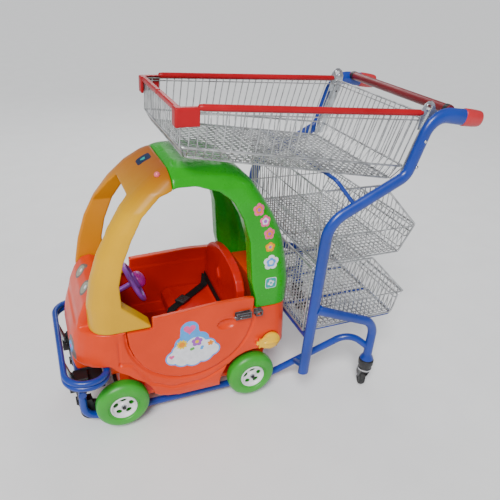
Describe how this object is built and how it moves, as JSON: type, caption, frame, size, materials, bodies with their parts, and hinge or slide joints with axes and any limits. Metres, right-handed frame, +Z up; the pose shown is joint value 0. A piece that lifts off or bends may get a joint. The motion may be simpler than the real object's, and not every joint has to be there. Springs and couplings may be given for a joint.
{
  "type": "shopping cart",
  "caption": "Supermarket trolley with wire baskets on a bent tube frame, and ahead of them a ride-on toy car with a door, steering wheel and roof on toy wheels.",
  "frame": {"origin": "on the ground, under the middle of the overall length and width", "axes": "+X runs back from the car's nose to the push bar, +Y is the trolley's right as seen by the person pushing, +Z is up"},
  "size_m": [1.2839, 0.6146, 1.0695],
  "materials": {
    "blue": "gloss powder coat",
    "red": "smooth moulded",
    "zinc": "bright zinc plate over welded wire",
    "black": "moulded black",
    "axle_black": "satin black",
    "tyre": "moulded green tread",
    "white": "smooth moulded",
    "maroon": "smooth sleeve over tube",
    "chrome": "polished",
    "orange": "blow moulded, satin",
    "yellow": "blow moulded, satin",
    "green": "blow moulded, gloss",
    "deep_red": "blow moulded, satin",
    "lemon": "smooth moulded",
    "violet": "smooth moulded",
    "webbing": "woven strap"
  },
  "bodies": {
    "trolley": {"side_tube_left": "blue", "caster_leg_left": "blue", "base_rail_left": "blue", "handle_cap_left": "red", "rim_cover_left": "red", "corner_guard_left": "red", "basket_bracket_left": "zinc", "side_tube_right": "blue", "caster_leg_right": "blue", "base_rail_right": "blue", "handle_cap_right": "red", "rim_cover_right": "red", "corner_guard_right": "red", "basket_bracket_right": "zinc", "front_crossbar": "blue", "front_bumper": "blue", "tray_frame": "blue", "basket_support_hoop": "blue", "handle_bar": "maroon", "top_basket_floor": "zinc", "top_basket_left": "zinc", "top_basket_right": "zinc", "top_basket_front": "zinc", "top_basket_back": "zinc", "middle_basket_floor": "zinc", "middle_basket_left": "zinc", "middle_basket_right": "zinc", "middle_basket_front": "zinc", "middle_basket_back": "zinc", "tray_basket_floor": "zinc", "tray_basket_left": "zinc", "tray_basket_right": "zinc", "tray_basket_front": "zinc", "tray_basket_back": "zinc", "car_body": "orange", "windshield_frame": "yellow", "roof": "green", "seat": "deep_red", "seat_belt": "webbing", "front_axle": "axle_black", "rear_axle": "axle_black"},
    "front_toy_wheel_left": {"front_tyre_left": "tyre", "front_hub_left": "white"},
    "front_toy_wheel_right": {"front_tyre_right": "tyre", "front_hub_right": "white"},
    "rear_toy_wheel_left": {"rear_tyre_left": "tyre", "rear_hub_left": "white"},
    "rear_toy_wheel_right": {"rear_tyre_right": "tyre", "rear_hub_right": "white"},
    "caster_swivel_left": {"caster_fork_left": "black"},
    "caster_roller_left": {"caster_wheel_left": "black"},
    "front_roller_left": {"front_caster_wheel_left": "black"},
    "caster_swivel_right": {"caster_fork_right": "black"},
    "caster_roller_right": {"caster_wheel_right": "black"},
    "front_roller_right": {"front_caster_wheel_right": "black"},
    "car_door": {"door": "orange", "latch_barrel": "chrome"},
    "door_bolt": {"latch_bolt": "chrome"},
    "filler_cap": {"fuel_cap": "lemon"},
    "steering": {"steering_wheel": "violet"}
  },
  "joints": [
    {"name": "front_toy_wheel_left_spin", "type": "hinge", "parent": "trolley", "child": "front_toy_wheel_left", "pos_m": [-0.465, -0.1777, 0.104], "axis": [0, 1, 0], "continuous": true},
    {"name": "front_toy_wheel_right_spin", "type": "hinge", "parent": "trolley", "child": "front_toy_wheel_right", "pos_m": [-0.465, 0.1777, 0.104], "axis": [0, 1, 0], "continuous": true},
    {"name": "rear_toy_wheel_left_spin", "type": "hinge", "parent": "trolley", "child": "rear_toy_wheel_left", "pos_m": [-0.014, -0.1777, 0.104], "axis": [0, 1, 0], "continuous": true},
    {"name": "rear_toy_wheel_right_spin", "type": "hinge", "parent": "trolley", "child": "rear_toy_wheel_right", "pos_m": [-0.014, 0.1777, 0.104], "axis": [0, 1, 0], "continuous": true},
    {"name": "caster_swivel_left_turn", "type": "hinge", "parent": "trolley", "child": "caster_swivel_left", "pos_m": [0.407, -0.28, 0.1], "axis": [0, 0, 1], "continuous": true},
    {"name": "caster_roller_left_spin", "type": "hinge", "parent": "caster_swivel_left", "child": "caster_roller_left", "pos_m": [0.41861, -0.25452, 0.038], "axis": [-0.91, 0.4147, 0], "continuous": true},
    {"name": "front_roller_left_spin", "type": "hinge", "parent": "trolley", "child": "front_roller_left", "pos_m": [-0.557, -0.105, 0.038], "axis": [0, 1, 0], "continuous": true},
    {"name": "caster_swivel_right_turn", "type": "hinge", "parent": "trolley", "child": "caster_swivel_right", "pos_m": [0.407, 0.28, 0.1], "axis": [0, 0, 1], "continuous": true},
    {"name": "caster_roller_right_spin", "type": "hinge", "parent": "caster_swivel_right", "child": "caster_roller_right", "pos_m": [0.41861, 0.25452, 0.038], "axis": [0.91, 0.4147, 0], "continuous": true},
    {"name": "front_roller_right_spin", "type": "hinge", "parent": "trolley", "child": "front_roller_right", "pos_m": [-0.557, 0.105, 0.038], "axis": [0, 1, 0], "continuous": true},
    {"name": "door_swing", "type": "hinge", "parent": "trolley", "child": "car_door", "pos_m": [-0.44, -0.1995, 0.3], "axis": [0, 0, -1], "range_deg": [0, 80]},
    {"name": "bolt_slide", "type": "slide", "parent": "car_door", "child": "door_bolt", "axis": [1, 0, 0], "range_m": [0, 0.02]},
    {"name": "fuel_cap_swing", "type": "hinge", "parent": "trolley", "child": "filler_cap", "pos_m": [-0.007, -0.2035, 0.253], "axis": [0, 0, -1], "range_deg": [0, 100]},
    {"name": "steering_turn", "type": "hinge", "parent": "trolley", "child": "steering", "pos_m": [-0.378, 0, 0.446], "axis": [0.899, 0, 0.438], "continuous": true}
  ]
}
